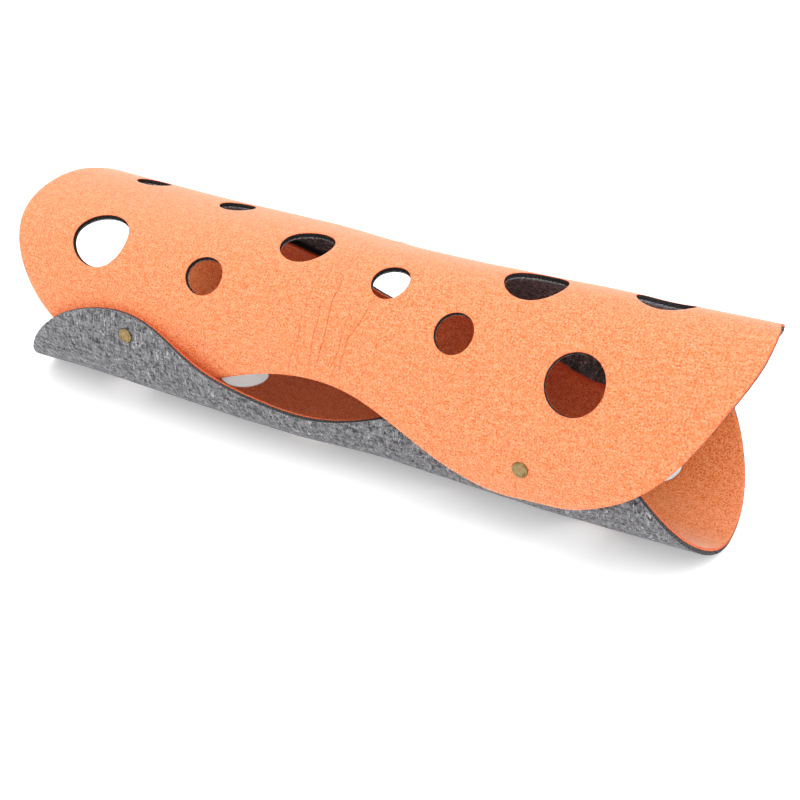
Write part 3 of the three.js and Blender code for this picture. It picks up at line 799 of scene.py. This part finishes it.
def lathe(name, profile, node):
    place, normal = SNAP_PLACES[name]
    z = Vector(normal)
    turn = z.to_track_quat("Z", "Y").to_matrix()
    verts, faces, rings = [], [], []
    for radius, height in profile:
        if radius == 0:
            rings.append([len(verts)])
            verts.append((0.0, 0.0, height))
        else:
            rings.append(list(range(len(verts), len(verts) + TURNS)))
            verts += [(radius * math.cos(2 * math.pi * i / TURNS), radius * math.sin(2 * math.pi * i / TURNS), height) for i in range(TURNS)]
    for a, b in zip(rings, rings[1:]):
        for i in range(TURNS):
            j = (i + 1) % TURNS
            if len(a) == 1:
                faces.append((a[0], b[i], b[j]))
            elif len(b) == 1:
                faces.append((a[j], a[i], b[0]))
            else:
                faces.append((a[j], a[i], b[i], b[j]))
    base = Vector(place)
    verts = [(base + turn @ Vector(v)) * 0.001 for v in verts]
    mesh = bpy.data.meshes.new(node + "_turned")
    mesh.from_pydata(verts, [], faces)
    mesh.polygons.foreach_set("use_smooth", [True] * len(faces))
    dark = []
    for a, b in zip(profile, profile[1:]):  # painted shade: the rim's side and the groove inside the rim get the darker brass
        mean = ((a[0] + b[0]) / 2, (a[1] + b[1]) / 2)
        in_shade = (mean[0] > 8.0 and mean[1] < 10.25) or (5.7 < mean[0] < 6.4 and mean[1] > 10)
        dark += [1 if in_shade else 0] * TURNS
    mesh.polygons.foreach_set("material_index", dark)
    mesh.validate()
    mesh.update()
    obj = bpy.data.objects.new(node + "_turned", mesh)
    bpy.context.scene.collection.objects.link(obj)
    mesh.materials.append(BRASS)
    mesh.materials.append(SHADED_BRASS)
    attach(obj, "root")
    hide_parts(node)
    return obj


for snap_name, *_ in SNAPS:
    lathe(snap_name, CAP, "snap_cap_" + snap_name)
    lathe(snap_name, STUD, "snap_stud_" + snap_name)

# ------------------------------------------------------------------ floor, light and camera


def pale_floor():
    m = Nodes("pale_floor")
    place = m.new("ShaderNodeTexCoord").outputs["Object"]
    soft = m.noise(place, 3.0, 2, 0.5)
    colour = m.ramp(soft, (0.3, (0.905, 0.905, 0.91)), (0.7, (0.925, 0.925, 0.925)))
    return m.finish(colour, 0.9, None, **{"Specular_IOR_Level": 0.1, "Emission_Color": (1, 1, 1, 1), "Emission_Strength": 0.28})


floor_mesh = bpy.data.meshes.new("floor")
floor_mesh.from_pydata([(-14, -14, 0), (14, -14, 0), (14, 14, 0), (-14, 14, 0)], [], [(0, 1, 2, 3)])
floor = bpy.data.objects.new("floor", floor_mesh)
floor.location.z = -0.0002
floor_mesh.materials.append(pale_floor())
bpy.context.scene.collection.objects.link(floor)

world = bpy.data.worlds.new("studio")
bpy.context.scene.world = world
world.use_nodes = True
background = world.node_tree.nodes["Background"]
background.inputs["Strength"].default_value = 1.0
# a plain soft studio: brighter overhead than at the walls
direction = world.node_tree.nodes.new("ShaderNodeTexCoord")
split = world.node_tree.nodes.new("ShaderNodeSeparateXYZ")
overhead = world.node_tree.nodes.new("ShaderNodeValToRGB")
overhead.color_ramp.elements[0].position = 0.0
overhead.color_ramp.elements[0].color = (0.45, 0.45, 0.45, 1)
overhead.color_ramp.elements[1].position = 1.0
overhead.color_ramp.elements[1].color = (1.62, 1.62, 1.62, 1)
world.node_tree.links.new(direction.outputs["Generated"], split.inputs[0])
world.node_tree.links.new(split.outputs["Z"], overhead.inputs[0])
world.node_tree.links.new(overhead.outputs[0], background.inputs["Color"])


def sun(name, azimuth, elevation, strength, spread, colour=(1, 1, 1)):
    light = bpy.data.lights.new(name, "SUN")
    light.energy = strength
    light.angle = math.radians(spread)
    light.color = colour
    obj = bpy.data.objects.new(name, light)
    a, e = math.radians(azimuth), math.radians(elevation)
    towards = Vector((math.sin(a) * math.cos(e), -math.cos(a) * math.cos(e), math.sin(e)))
    obj.rotation_euler = towards.to_track_quat("Z", "Y").to_euler()
    bpy.context.scene.collection.objects.link(obj)


sun("key", 18, 66, 0.95, 60)
sun("back", 125, 42, 0.45, 60)

view = bpy.context.scene.view_settings
view.view_transform = "Standard"
view.look = "None"
view.exposure = 0.0
view.gamma = 1.0
# a gentle contrast curve: the darks a little deeper
view.use_curve_mapping = True
curve = view.curve_mapping.curves[3]
for place, value in ((0.028, 0.0150), (0.065, 0.042), (0.130, 0.115), (0.270, 0.270)):
    curve.points.new(place, value)
view.curve_mapping.update()

CAMERA_AT = Vector((0.57191, -1.01584, 0.74670))
RIGHT = Vector((0.88100108, 0.47304801, 0.00791669))
UP = Vector((-0.25497883, 0.46064261, 0.85017303))
FORWARD = Vector((-0.3985259, 0.75102195, -0.52644386))
camera_data = bpy.data.cameras.new("camera")
camera = bpy.data.objects.new("camera", camera_data)
bpy.context.scene.collection.objects.link(camera)
camera_data.sensor_fit = "HORIZONTAL"
camera_data.sensor_width = 36.0
camera_data.lens = 1170.855 * 36.0 / 800.0
camera_data.clip_end = 60
turn = Matrix((RIGHT, UP, -FORWARD)).transposed()
camera.matrix_world = Matrix.Translation(CAMERA_AT) @ turn.to_4x4()
bpy.context.scene.camera = camera
